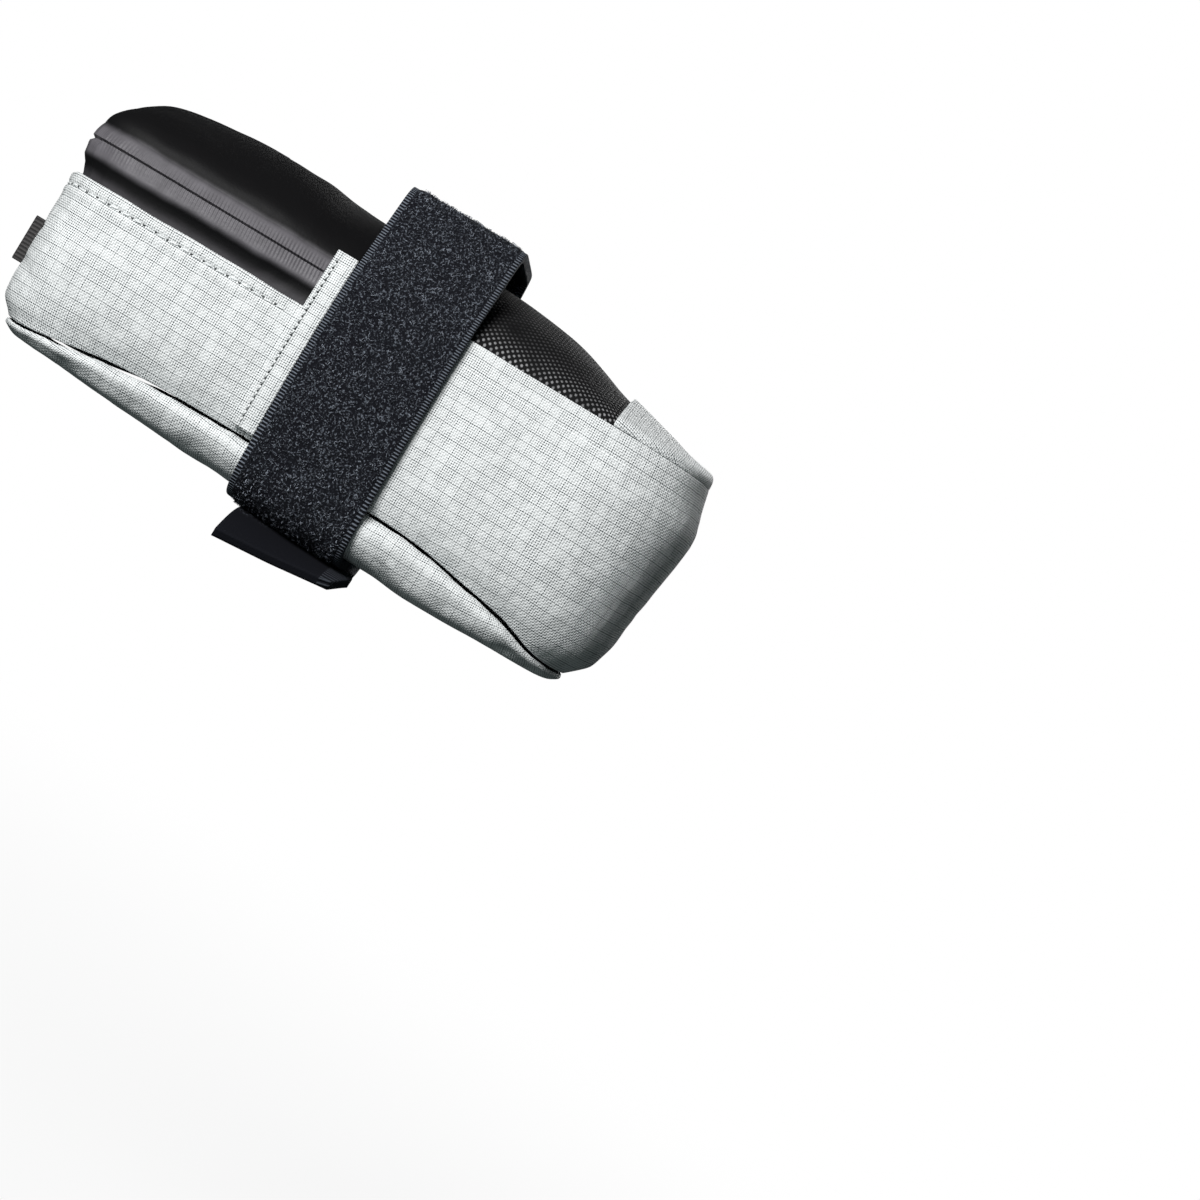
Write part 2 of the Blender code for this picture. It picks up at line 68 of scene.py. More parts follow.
# The studio: a pale floor that fades into the pale surround, a large soft light at the front left, a weaker
# one behind, and a dim surround that is brightest in front and darker above and on the right.
class Value:
    """A number, colour or vector that varies over a surface. Arithmetic on a number adds its Math nodes."""

    def __init__(self, owner, socket):
        self.owner = owner
        self.socket = socket

    def math(self, operation, *others):
        sockets = dict(enumerate((self, *others)))
        return self.owner.node("ShaderNodeMath", {"operation": operation}, sockets)

    def __add__(self, other):
        return self.math("ADD", other)

    def __sub__(self, other):
        return self.math("SUBTRACT", other)

    def __rsub__(self, other):
        return (self * -1).math("ADD", other)

    def __mul__(self, other):
        return self.math("MULTIPLY", other)

    def __truediv__(self, other):
        return self.math("DIVIDE", other)

    __radd__ = __add__
    __rmul__ = __mul__

    def band(self, start, end):
        """0 before start, 1 past end and smooth between them."""
        ends = {1: start, 2: end} if start < end else {1: end, 2: start}
        sockets = {0: self, **ends}
        rising = self.owner.node("ShaderNodeMapRange", {"interpolation_type": "SMOOTHSTEP"}, sockets)
        return rising if start < end else 1 - rising

    def sine(self, period):
        return (self * (2 * math.pi / period)).math("SINE")


class Nodes:
    """Adds nodes to one node tree."""

    def __init__(self, tree):
        self.tree = tree

    def node(self, kind, settings=None, sockets=None, output=0):
        made = self.tree.nodes.new(kind)
        for name, value in (settings or {}).items():
            setattr(made, name, value)
        for place, value in (sockets or {}).items():
            self.plug(made.inputs[place], value)
        return Value(self, made.outputs[output])

    def plug(self, socket, value):
        if isinstance(value, Value):
            self.tree.links.new(value.socket, socket)
        else:
            socket.default_value = value

    def parts(self, vector):
        return [self.node("ShaderNodeSeparateXYZ", sockets={0: vector}, output=axis) for axis in range(3)]

    def mixed(self, mask, dark, light):
        colours = {0: mask, 6: (*dark, 1.0) if isinstance(dark, tuple) else dark}
        colours[7] = (*light, 1.0) if isinstance(light, tuple) else light
        return self.node("ShaderNodeMix", {"data_type": "RGBA"}, colours, output=2)

    def place(self):
        """Where a point is in the bag's frame, in metres."""
        return self.node("ShaderNodeTexCoord", output=3)

    def place_part(self, axis):
        return self.node("ShaderNodeSeparateXYZ", sockets={0: self.place()}, output=axis)

    def grain(self, size, detail=2.0, roughness=0.5, vector=None):
        """Soft noise from 0 to 1 with lumps of about this size, in metres."""
        sockets = {"Vector": vector or self.place(), "Scale": 1 / size, "Detail": detail}
        return self.node("ShaderNodeTexNoise", sockets={**sockets, "Roughness": roughness})


class Finish(Nodes):
    """A surface finish: a material with one shader and the nodes that feed it."""

    def __init__(self, name, **constants):
        self.material = bpy.data.materials.new(name)
        self.material.use_nodes = True
        super().__init__(self.material.node_tree)
        self.shader = self.tree.nodes["Principled BSDF"]
        self.feed(**constants)

    def feed(self, **values):
        """Sets the shader's own inputs. Base_Color stands for the input Base Color."""
        for name, value in values.items():
            if isinstance(value, tuple):
                value = (*value, 1.0)
            self.plug(self.shader.inputs[name.replace("_", " ")], value)

    def raised(self, height, distance):
        """Feeds the shader's normal with a relief: height is from 0 to 1 and distance is its real size."""
        self.feed(Normal=self.node("ShaderNodeBump", sockets={"Height": height, "Distance": distance}))


FLOOR_DEPTH = 0.30
FLOOR_SIZE = 6.0
NEAR_FLOOR = 0.30
FAR_FLOOR = 1.2
LIT_FLOOR = 0.14
SURROUND_TINT = (0.84, 1.0, 1.0, 1.0)
SURROUND_DIM = 0.05
SURROUND_FRONT = 0.12
SURROUND_LOSS = 0.60

floor_mesh = bmesh.new()
bmesh.ops.create_circle(floor_mesh, cap_ends=True, segments=96, radius=FLOOR_SIZE)
floor = bpy.data.objects.new("floor", bpy.data.meshes.new("floor"))
floor_mesh.to_mesh(floor.data)
floor_mesh.free()
floor.location = (0, 0, -FLOOR_DEPTH)
floor.visible_diffuse = floor.visible_glossy = False
bpy.context.scene.collection.objects.link(floor)
pale = Finish("pale floor", Base_Color=(0.90, 0.90, 0.90), Roughness=0.9)
reach = pale.node("ShaderNodeVectorMath", {"operation": "LENGTH"}, {0: pale.place()}, output=1)
glow = pale.node("ShaderNodeEmission", sockets={"Color": (1, 1, 1, 1)})
faded = 1 - reach.band(FAR_FLOOR, NEAR_FLOOR) * LIT_FLOOR
layers = {0: faded, 1: Value(pale, pale.shader.outputs[0]), 2: glow}
surface = pale.node("ShaderNodeMixShader", sockets=layers)
pale.plug(pale.tree.nodes["Material Output"].inputs["Surface"], surface)
floor.data.materials.append(pale.material)

world = bpy.data.worlds.new("surround")
world.use_nodes = True
bpy.context.scene.world = world
surround = Nodes(world.node_tree)
side, depth, height = surround.parts(surround.node("ShaderNodeTexCoord"))
front = depth.band(0.3, -1.0)
above = height.band(0.0, 0.55)
right = side.band(0.05, 0.85)
even = SURROUND_DIM + front * SURROUND_FRONT
strength = even * (1 - above * SURROUND_LOSS) * (1 - right * SURROUND_LOSS)
dim = surround.node("ShaderNodeBackground", sockets={"Color": SURROUND_TINT, "Strength": strength})
plain = surround.node("ShaderNodeBackground", sockets={"Color": (1, 1, 1, 1)})
seen = surround.node("ShaderNodeLightPath")
both = surround.node("ShaderNodeMixShader", sockets={0: seen, 1: dim, 2: plain})
surround.plug(world.node_tree.nodes["World Output"].inputs["Surface"], both)


def soft_light(name, place, size, power):
    """A square soft light that faces the bag."""
    lamp = bpy.data.lights.new(name, "AREA")
    lamp.size = size
    lamp.energy = power
    made = bpy.data.objects.new(name, lamp)
    made.location = place
    made.rotation_euler = Vector(place).to_track_quat("Z", "Y").to_euler()
    bpy.context.scene.collection.objects.link(made)


soft_light("key", (-0.50, -1.32, 0.62), 0.60, 31)
soft_light("back", (0.40, 1.45, 0.50), 0.9, 11)

# The base: a puffy panel of grey ripstop, cut as a long rounded rectangle and sewn all round to the sides.
# Its cloth is a coated plain weave with a stronger thread every few millimetres, seen as a fine grid.
RIPSTOP_GREY = (0.84, 0.86, 0.86)
RIPSTOP_PORE = (0.045, 0.060, 0.065)
THREAD = 0.54
CELL = 2.70
LINE_WIDTH = 0.15
RIM_ANGLE = math.radians(50)
SEAM_TUCK = 0.0009
BASE_FULL = 0.0006
FULL_AT = 0.004
SEWN_TO = 0.0012
LOOSE_FROM = 0.0070
CLOTH_GIVE = 0.0008
CLOTH_SLACK = 0.03
CLOTH_PRESSURE = 4
CLOTH_FRAMES = 20
CLOTH_SCALE = 10
STRAP_HALF = 0.01495
HELD_BESIDE = 0.0055
FREE_BESIDE = 0.016
GATHER_DEPTH = 0.00035
BASE_MIDDLE = -0.060
RAY = 0.15
RAY_COUNT = 80
HALVINGS = 16
STEEPEST_EDGE = math.radians(70)
EDGE_CROWDING = 1.4
BASE_STRAIGHT = 64
BASE_ROUND = 56
BASE_DOWN = 26
CLOTH_THICK = 0.0009
REAR_POLE = -0.050
FRONT_POLE = 0.045


def finer_piece(shape, name, levels, node):
    """Makes the shape an object, divides its faces this many times, and puts it in the node's place."""
    coarse = bpy.data.meshes.new(name)
    shape.to_mesh(coarse)
    shape.free()
    piece = bpy.data.objects.new(name, coarse)
    bpy.context.scene.collection.objects.link(piece)
    finer = piece.modifiers.new("finer", "SUBSURF")
    finer.levels = finer.render_levels = levels
    fine = bpy.data.meshes.new_from_object(piece.evaluated_get(bpy.context.evaluated_depsgraph_get()))
    piece.modifiers.clear()
    piece.data = fine
    fine.name = name
    fine.shade_smooth()
    fine.set_sharp_from_angle(angle=RIM_ANGLE)
    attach(piece, "root")
    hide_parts(node)
    return piece


def finish_piece(piece, finish):
    piece.data.materials.clear()
    piece.data.materials.append(finish.material)


def points_of(piece):
    points = np.empty(len(piece.data.vertices) * 3)
    piece.data.vertices.foreach_get("co", points)
    return points.reshape(-1, 3)


def move_points(piece, points):
    piece.data.vertices.foreach_set("co", points.astype(np.float32).ravel())
    piece.data.update()


def lumps(points, size, seed=0.0):
    """Smooth noise from about -1 to 1 at each point, with lumps of this size."""
    return np.array([noise.noise(Vector(p) / size + Vector((seed, seed * 0.7, -seed))) for p in points])


def hump(distance, width):
    """1 at no distance, falling smoothly to almost 0 at twice the width."""
    return np.exp(-((distance / width) ** 2))


def rise(distance, start, end):
    """0 up to start, 1 from end on and smooth between them."""
    share = np.clip((distance - start) / (end - start), 0, 1)
    return share * share * (3 - 2 * share)


def ripstop(name):
    """The grey cloth: pores between its threads, fine dark lines beside the strong ones, and a faint soil."""
    made = Finish(name, Specular_IOR_Level=0.25)
    flat = made.node("ShaderNodeAttribute", {"attribute_name": "cloth"}, output=1)
    wander = made.grain(0.008, 2) * 0.5
    across, up = [value + wander for value in made.parts(flat)[:2]]
    gap_across = 1 - across.sine(2 * THREAD).math("ABSOLUTE")
    gap_up = 1 - up.sine(2 * THREAD).math("ABSOLUTE")
    pore = (gap_across * gap_up).band(0.02, 0.36)
    off_row = ((up / CELL + 0.5).math("FRACT") - 0.5).math("ABSOLUTE")
    off_column = ((across / CELL + 0.5).math("FRACT") - 0.5).math("ABSOLUTE")
    row = off_row.band(LINE_WIDTH / CELL, 0.0) * (0.35 + gap_across * 0.65)
    column = off_column.band(LINE_WIDTH / CELL, 0.0) * (0.10 + gap_up * 1.1)
    worn = made.grain(0.0035, 3)
    open_weave = worn.band(0.36, 0.60)
    grid = row.math("MAXIMUM", column * 0.8) * (0.60 + worn.band(0.30, 0.55) * 0.40)
    dark = (pore * (0.30 + open_weave * 0.55) + grid * 1.25).math("MINIMUM", 0.97)
    cloud = made.grain(0.015, 4)
    duller, brighter = (tuple(part * share for part in RIPSTOP_GREY) for share in (0.90, 1.05))
    pale_thread = made.mixed(cloud, duller, brighter)
    made.feed(Base_Color=made.mixed(dark, pale_thread, RIPSTOP_PORE), Roughness=0.72 - open_weave * 0.12)
    knots = across.sine(2 * THREAD) * up.sine(2 * THREAD)
    height = knots * 0.28 + (1 - pore) * 0.5 - grid * 0.2 + made.grain(0.0009, 2) * 0.5
    made.raised(height, 0.00019)
    return made


grey_cloth = ripstop("grey ripstop")


def away_from_strap(x):
    """0 under the strap and beside it, where the cloth is held flat, and 1 a little further off."""
    return rise(np.abs(x), STRAP_HALF + HELD_BESIDE, STRAP_HALF + FREE_BESIDE)


def shell_of(*nodes):
    """The outside of these nodes together, which a straight line can be met with."""
    points, faces = [], []
    for node in nodes:
        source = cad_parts[node].data
        faces += [[len(points) + corner for corner in face.vertices] for face in source.polygons]
        points += [point.co for point in source.vertices]
    return BVHTree.FromPolygons(points, faces)


def last_miss(meets, clear, met):
    """The first angle or height, from clear towards met, at which the surface is met."""
    for _ in range(HALVINGS):
        between = (clear + met) / 2
        clear, met = (clear, between) if meets(between) else (between, met)
    return met


def upright_lines(shell, headings, start_height, upward, steps):
    """Lines of points on the outside of a bowl or dome, each in one upright plane.

    A heading is a place on the middle line with a level direction. A line runs from the free edge to the
    point above or below its start. With the lines come their places on the flat cloth, and how far each
    point lies from the edge.
    """
    lines, flats, depths = [], [], []
    for x, heading in headings:
        start = Vector((x, 0, start_height))
        level = Vector((math.cos(heading), math.sin(heading), 0))

        def meets(angle):
            aim = level * math.cos(angle) + Vector((0, 0, upward * math.sin(angle)))
            return shell.ray_cast(start + aim * RAY, -aim, RAY)[0]

        edge = last_miss(meets, 0.0, STEEPEST_EDGE)
        points = np.array([meets(angle) or start for angle in np.linspace(edge, math.pi / 2, RAY_COUNT)])
        lengths = np.concatenate([[0], np.cumsum(np.linalg.norm(np.diff(points, axis=0), axis=1))])
        depth = lengths[-1] * np.linspace(0, 1, steps) ** EDGE_CROWDING
        lines.append(np.stack([np.interp(depth, lengths, points[:, axis]) for axis in range(3)], axis=-1))
        flats.append((x, 0, 0) + (depth[-1] - depth)[:, None] * np.array(level))
        depths.append(depth)
    return np.array(lines), np.array(flats), np.array(depths)


def grid_faces(count, steps, closed):
    """The quads between neighbouring lines of a grid."""
    gaps = count if closed else count - 1
    lines, places = np.meshgrid(np.arange(gaps), np.arange(steps - 1), indexing="ij")
    this, ahead = lines * steps + places, (lines + 1) % count * steps + places
    return np.stack([this, ahead, ahead + 1, this + 1], axis=-1).reshape(-1, 4)


def filled_out(lines, give, closed):
    """Blows a sheet of loose cloth out while its sewn edges are held, and returns where its points rest.

    Give is how far each point may move at most, and 0 where it is sewn down. The cloth is simulated larger
    than life, because the solver is steadier with points that lie further apart.
    """
    count, steps = lines.shape[:2]
    mesh = bpy.data.meshes.new("loose cloth")
    points = lines.reshape(-1, 3) * CLOTH_SCALE
    mesh.from_pydata(points.tolist(), [], grid_faces(count, steps, closed).tolist())
    loose = bpy.data.objects.new("loose cloth", mesh)
    bpy.context.scene.collection.objects.link(loose)
    held = loose.vertex_groups.new(name="held")
    held.add(np.flatnonzero(give.ravel() < 1e-6).tolist(), 1.0, "REPLACE")
    cloth = loose.modifiers.new("cloth", "CLOTH")
    cloth.settings.vertex_group_mass = "held"
    cloth.settings.effector_weights.gravity = 0
    cloth.settings.use_pressure = True
    cloth.settings.uniform_pressure_force = CLOTH_PRESSURE
    cloth.settings.shrink_min = -CLOTH_SLACK
    for step in range(1, CLOTH_FRAMES + 1):
        bpy.context.scene.frame_set(step)
    settled = loose.evaluated_get(bpy.context.evaluated_depsgraph_get())
    points = np.array([point.co for point in settled.data.vertices]).reshape(lines.shape) / CLOTH_SCALE
    bpy.context.scene.frame_set(1)
    bpy.data.objects.remove(loose)
    bpy.data.meshes.remove(mesh)
    move = points - lines
    far = np.linalg.norm(move, axis=-1, keepdims=True)
    return lines + move * np.minimum(1, give[..., None] / np.maximum(far, 1e-9))


def grid_piece(name, node, lines, flats, closed, levels):
    """Makes a sheet with a thickness from points on its outside and their places on the flat cloth."""
    count, steps = lines.shape[:2]
    shape = bmesh.new()
    written = shape.verts.layers.float_vector.new("cloth")
    points = [shape.verts.new(point) for point in lines.reshape(-1, 3)]
    for point, place in zip(points, flats.reshape(-1, 3)):
        point[written] = place * 1000
    for quad in grid_faces(count, steps, closed):
        shape.faces.new([points[corner] for corner in quad])
    bmesh.ops.remove_doubles(shape, verts=shape.verts, dist=1e-4)
    shape.normal_update()
    edges = [edge for edge in shape.edges if edge.is_boundary]
    faces, behind = list(shape.faces), {}
    for point in list(shape.verts):
        behind[point] = shape.verts.new(point.co - point.normal * CLOTH_THICK)
        behind[point][written] = point[written]
    for face in faces:
        shape.faces.new([behind[point] for point in reversed(face.verts)])
    for edge in edges:
        one, other = edge.verts
        shape.faces.new((one, other, behind[other], behind[one]))
    bmesh.ops.recalc_face_normals(shape, faces=shape.faces)
    return finer_piece(shape, name, levels, node)


straight = np.linspace(REAR_POLE, FRONT_POLE, BASE_STRAIGHT + 1)[:-1]
turn = np.linspace(0, math.pi, BASE_ROUND + 1)[:-1]
headings = [(x, -math.pi / 2) for x in straight]
headings += [(FRONT_POLE, angle - math.pi / 2) for angle in turn]
headings += [(x, math.pi / 2) for x in REAR_POLE + FRONT_POLE - straight]
headings += [(REAR_POLE, angle + math.pi / 2) for angle in turn]
lines, flats, depths = upright_lines(shell_of("base_panel"), headings, BASE_MIDDLE, -1, BASE_DOWN)
levels_out = np.array([(math.cos(heading), math.sin(heading), 0) for _, heading in headings])[:, None]
full = BASE_FULL * depths / FULL_AT * np.exp(1 - depths / FULL_AT) - SEAM_TUCK * hump(depths, 0.0016)
lines += full[..., None] * levels_out
give = CLOTH_GIVE * rise(depths, SEWN_TO, LOOSE_FROM) * away_from_strap(lines[..., 0])
give[:, -1] = 0
lines = filled_out(lines[::-1], give[::-1], True)
base = grid_piece("base_cloth", "base_panel", lines, flats[::-1], True, 1)
spots = points_of(base)
low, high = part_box("base_panel")
gathers = hump(spots[:, 2] - high.z, 0.008) * lumps(spots * (1, 1, 0.15), 0.0045, 3.0)
spots[:, 2] += GATHER_DEPTH * gathers
move_points(base, spots)
finish_piece(base, grey_cloth)


# The two wraps: grey ripstop sides, one round the rear and one round the nose, sewn to the base below and
# joined under the strip beside the strap. The rear one's upper edge is folded under and stitched, and the
# thread draws it in.
HEM_WIDTH = 0.0056
HEM_STEP = 0.00022
STITCH_INSET = 0.0031
STITCH_LENGTH = 0.0031
STITCH_DRAW = 0.00045
THREAD_THICK = 0.00046
PUCKER = 0.00020
END_RADIUS = 0.034
WRAP_LAP = 0.0009
LAP_TUCK = 0.99
LOOP_HALF = 0.021
LOOP_FADE = 0.010
HELD_TO = 0.001
LOOSE_FADE = 0.012
COLUMN_STEP = 0.0010
WALL_ROWS = 22
ROW_REACH = 0.0002
LAST_STITCH = 0.0065
EDGE_INSET = 0.0002
STITCH_RINGS = 7
STITCH_SIDES = 6
SEAM_ROWS = (0, 0.0005, 0.0012, 0.0022, 0.0034, 0.0048)
HEM_ROWS = (0, 0.0006, 0.0013, 0.0020, 0.0026, 0.0031, 0.0036, 0.0042, 0.0049, 0.0056, 0.0064)
SMALL_DENT = 0.00016
SEAM_DRAW = 0.0007
EDGE_WAVE = 0.00025


def end_headings(pole, start_x, spacing):
    """Level directions that go round one end of the bag, from the near side's start_x to the far side's."""
    toward = math.copysign(1, pole - start_x)
    sides = np.arange(start_x, pole, toward * spacing)
    turn = np.arange(0, math.pi, spacing / END_RADIUS)
    near = [(x, -math.pi / 2) for x in sides]
    end = [(pole, toward * angle - math.pi / 2) for angle in turn]
    far = [(x, toward * math.pi - math.pi / 2) for x in (pole, *sides[::-1])]
    return (near + end + far)[:: int(toward)]


def level_lines(shell, headings, low, high, rows):
    """Lines of points up the outside of a wall, met by level rays between its lower and its upper edge.

    Rows gives each point's height from those of the two edges. With the lines come the lengths round the wall
    from the middle of its end, and the outward directions.
    """
    lines, outs = [], []
    for x, heading in headings:
        level = Vector((math.cos(heading), math.sin(heading), 0))

        def meets(height):
            return shell.ray_cast(Vector((x, 0, height)) + level * RAY, -level, RAY)[0]

        middle = low * 0.4 + high * 0.6
        bottom = last_miss(meets, low - 0.006, middle)
        top = last_miss(meets, high + 0.001, middle)
        lines.append([meets(height) for height in rows(bottom + 1e-5, top - 1e-5)])
        outs.append(level)
    lines = np.array(lines)
    steps = np.linalg.norm(np.diff(lines[:, -1, :2], axis=0), axis=1)
    ring = np.concatenate([[0], np.cumsum(steps)])
    return lines, ring - ring[-1] / 2, np.array(outs)


def wall_flats(lines, ring):
    """Places on the flat cloth of a wall that runs round the bag."""
    flats = np.zeros(lines.shape)
    flats[..., 0] = ring[:, None]
    flats[..., 1] = lines[..., 2]
    return flats


def cloth_of(piece):
    """Each point's place on the flat cloth, in metres."""
    places = np.empty(len(piece.data.vertices) * 3)
    piece.data.attributes["cloth"].data.foreach_get("vector", places)
    return places.reshape(-1, 3) / 1000


def outward(points):
    """The level direction that leads away from the bag's middle line at each point."""
    away = points * (1, 1, 0)
    away[:, 0] -= np.clip(points[:, 0], REAR_POLE, FRONT_POLE)
    return away / np.linalg.norm(away, axis=1, keepdims=True)


def wrap_rows(bottom, top):
    """Heights of a wrap's rows: close together at its seam and its hem, and even between."""
    seam = [bottom + up for up in SEAM_ROWS[:-1]]
    between = np.linspace(bottom + SEAM_ROWS[-1], top - HEM_ROWS[-1], WALL_ROWS)
    return seam + list(between) + [top - down for down in HEM_ROWS[-2::-1]]


def looseness(lines, edges, top):
    """How freely a wrap bellies out: not at its seam and hem, by the strap or round the webbing."""
    x, y, z = np.moveaxis(lines, -1, 0)
    off_hem = rise(top - z, HEM_WIDTH, HEM_WIDTH + LOOSE_FADE)
    off_seam = rise(z - edges[:, None], HELD_TO, LOOSE_FADE)
    off_loop = np.where(x < REAR_POLE, rise(np.abs(y), LOOP_HALF, LOOP_HALF + LOOP_FADE), 1)
    return off_hem * off_seam * away_from_strap(x) * off_loop


def gathers_of(ring, up, lows):
    """The relief of a wrap: small dents all over, and the lower seam drawn in with its gathers."""
    place = np.stack([ring, up * 1.4, ring * 0], -1)
    drawn = GATHER_DEPTH * lumps(place * (1, 0.2, 1), 0.0035, 2.0) - SEAM_DRAW
    return SMALL_DENT * lumps(place, 0.006, 9.0) + drawn * hump(up - lows, 0.0030)


def hem_of(ring, below):
    """The relief of a hem: the fold's step, the groove under its thread, and a pucker between stitches."""
    fold = rise(below, HEM_WIDTH, HEM_WIDTH - 0.0006)
    groove = hump(below - STITCH_INSET, 0.0006)
    pull = np.abs(np.sin(math.pi * ring / STITCH_LENGTH)) * hump(below - STITCH_INSET * 0.8, 0.0022)
    uneven = 0.6 + 0.8 * lumps(np.stack([ring, ring * 0, ring * 0], -1), 0.009, 4.0)
    return HEM_STEP * fold - STITCH_DRAW * groove + PUCKER * (pull - 0.5) * uneven * fold


def dress_wrap(node, name, pole, start_x, stitched):
    low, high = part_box(node)
    headings = end_headings(pole, start_x, COLUMN_STEP)
    lines, columns, _ = level_lines(shell_of(node), headings, low.z, high.z, wrap_rows)
    flats = wall_flats(lines, columns)
    edges = lines[:, 0, 2]
    lines = filled_out(lines, CLOTH_GIVE * looseness(lines, edges, high.z), False)
    if stitched:
        lines[[0, -1]] += (WRAP_LAP, 0, 0)
        lines[[0, -1], :, 1] *= LAP_TUCK
    piece = grid_piece(name, node, lines, flats, False, 1)
    spots, flat = points_of(piece), cloth_of(piece)
    ring, up = flat[:, 0], flat[:, 1]
    below = high.z - up
    free = away_from_strap(spots[:, 0])
    move = gathers_of(ring, up, np.interp(ring, columns, edges))
    if stitched:
        move += hem_of(ring, below)
    spots += outward(spots) * (move * free)[:, None]
    wave = EDGE_WAVE * lumps(np.stack([ring, ring * 0, ring * 0], -1), 0.012, 6.0)
    spots[:, 2] += wave * free * rise(below, 0.004, 0.0)
    move_points(piece, spots)
    finish_piece(piece, grey_cloth)
    return piece


def normals_of(piece):
    normals = np.empty(len(piece.data.vertices) * 3)
    piece.data.vertex_normals.foreach_get("vector", normals)
    return normals.reshape(-1, 3)


def surface_row(piece, height):
    """The outer face's points at one height, in order round the end: places round it, points and normals."""
    spots, facing, flat = points_of(piece), normals_of(piece), cloth_of(piece)
    leads = (facing * outward(spots)).sum(1) > 0.5
    near = leads & (np.abs(flat[:, 1] - height) < ROW_REACH)
    order = np.argsort(flat[near, 0])
    return flat[near, 0][order], spots[near][order], facing[near][order]


def thread_row(name, centres, heads, facing, length, thick, finish):
    """One mesh of short stitches: each is a thin rounded grain on the cloth that dips in at its ends."""
    turns = np.linspace(0, 2 * math.pi, STITCH_SIDES + 1)[:-1]
    stations = np.linspace(-1, 1, STITCH_RINGS)
    shape = bmesh.new()
    for centre, head, out in zip(centres, heads, facing):
        head = head / np.linalg.norm(head)
        out = out / np.linalg.norm(out)
        side = np.cross(head, out)
        rings = []
        for place in stations:
            radius = math.sqrt(max(0.06, 1 - place**4)) * thick / 2
            middle = centre + head * place * length / 2 + out * (thick * 0.30 - thick * 0.9 * place**4)
            ring = [middle + radius * (math.cos(turn) * side + math.sin(turn) * out) for turn in turns]
            rings.append([shape.verts.new(point) for point in ring])
        for first, second in zip(rings, rings[1:]):
            for k in range(STITCH_SIDES):
                ahead = (k + 1) % STITCH_SIDES
                shape.faces.new((first[k], first[ahead], second[ahead], second[k]))
        shape.faces.new(rings[0][::-1])
        shape.faces.new(rings[-1])
    bmesh.ops.recalc_face_normals(shape, faces=shape.faces)
    mesh = bpy.data.meshes.new(name)
    shape.to_mesh(mesh)
    shape.free()
    mesh.shade_smooth()
    made = bpy.data.objects.new(name, mesh)
    bpy.context.scene.collection.objects.link(made)
    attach(made, "root")
    finish_piece(made, finish)
    return made


def along_row(places, ring, row, facing):
    """The points and the outward directions at these places round a row of surface points."""
    points = np.stack([np.interp(places, ring, row[:, axis]) for axis in range(3)], axis=-1)
    outs = np.stack([np.interp(places, ring, facing[:, axis]) for axis in range(3)], axis=-1)
    return points, outs


grey_thread = Finish("grey thread", Roughness=0.5)
twist = grey_thread.grain(0.0005, 2)
grey_thread.feed(Base_Color=grey_thread.mixed(twist, (0.60, 0.62, 0.62), (0.90, 0.92, 0.92)))
grey_thread.raised(twist, 0.00006)
# Painted shade: short dark grains laid between the stitches stand for the shade inside the needle holes.
hole_shade = Finish("painted hole shade", Roughness=0.9)
hole_shade_grain = hole_shade.grain(0.002)
hole_shade.feed(Base_Color=hole_shade.mixed(hole_shade_grain, (0.02, 0.022, 0.024), (0.12, 0.13, 0.13)))

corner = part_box("rear_wrap")[1]
rear_side = dress_wrap("rear_wrap", "rear_side_cloth", REAR_POLE, corner.x - EDGE_INSET, True)
ring, row, facing = surface_row(rear_side, corner.z - STITCH_INSET)
last = np.abs(ring[np.abs(row[:, 0]) > STRAP_HALF + LAST_STITCH]).max()
centres = np.arange(-last, last, STITCH_LENGTH)
# The second row is the painted shade of the needle holes between the hem's stitches.
for name, places, share, thick, finish in (
    ("hem_stitches", centres, 0.74, THREAD_THICK, grey_thread),
    ("hem_hole_shades", centres[:-1] + STITCH_LENGTH / 2, 0.24, THREAD_THICK * 0.9, hole_shade),
):
    line, outs = along_row(places, ring, row, facing)
    heads = np.gradient(line, axis=0)
    thread_row(name, line, heads, outs, STITCH_LENGTH * share, thick, finish)
front_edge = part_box("front_wrap")[0].x + EDGE_INSET
front_side = dress_wrap("front_wrap", "front_side_cloth", FRONT_POLE, front_edge, False)

# The folded strips over the joint between the wraps: the same ripstop doubled over and sewn down on its rear
# edge, with the fold towards the strap.
STRIP_STITCH = 0.0016
STRIP_INSET = 0.0011
STRIP_MARGIN = 0.002
STRIP_THREAD = 0.0004
FOLD_RISE = 0.00025
SEWN_DIP = 0.0002
STRIP_DENT = 0.00015


def cloth_mesh(node, name, levels, shift=None, cut=None, cuts=0):
    """A finer copy of one of the frame's sheets, as an object of its own whose cut edges stay crisp.

    Shift moves the points of those edges, as an offset for each point. Cut says which of the coarse edges are
    divided first, and cuts how many times.
    """
    shape = bmesh.new()
    shape.from_mesh(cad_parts[node].data)
    bmesh.ops.remove_doubles(shape, verts=shape.verts, dist=1e-5)
    wide = {"angle_face_threshold": math.radians(50), "angle_shape_threshold": math.radians(70)}
    bmesh.ops.join_triangles(shape, faces=shape.faces, **wide)
    crease = shape.edges.layers.float.new("crease_edge")
    rims = [edge for edge in shape.edges if edge.calc_face_angle(0) > RIM_ANGLE]
    for edge in rims:
        edge[crease] = 1.0
    if shift is not None:
        for point in {point for edge in rims for point in edge.verts}:
            point.co += Vector(shift(point.co))
    if cut is not None:
        long_ones = [edge for edge in shape.edges if cut(edge)]
        bmesh.ops.subdivide_edges(shape, edges=long_ones, cuts=cuts, use_grid_fill=True)
    return finer_piece(shape, name, levels, node)


def lay_cloth(piece, across, up):
    """Writes each point's place on the flat cloth, in millimetres, which the weaves read."""
    flat = np.stack([across, up, np.zeros_like(up)], axis=-1) * 1000
    written = piece.data.attributes.new("cloth", "FLOAT_VECTOR", "POINT")
    written.data.foreach_set("vector", flat.astype(np.float32).ravel())


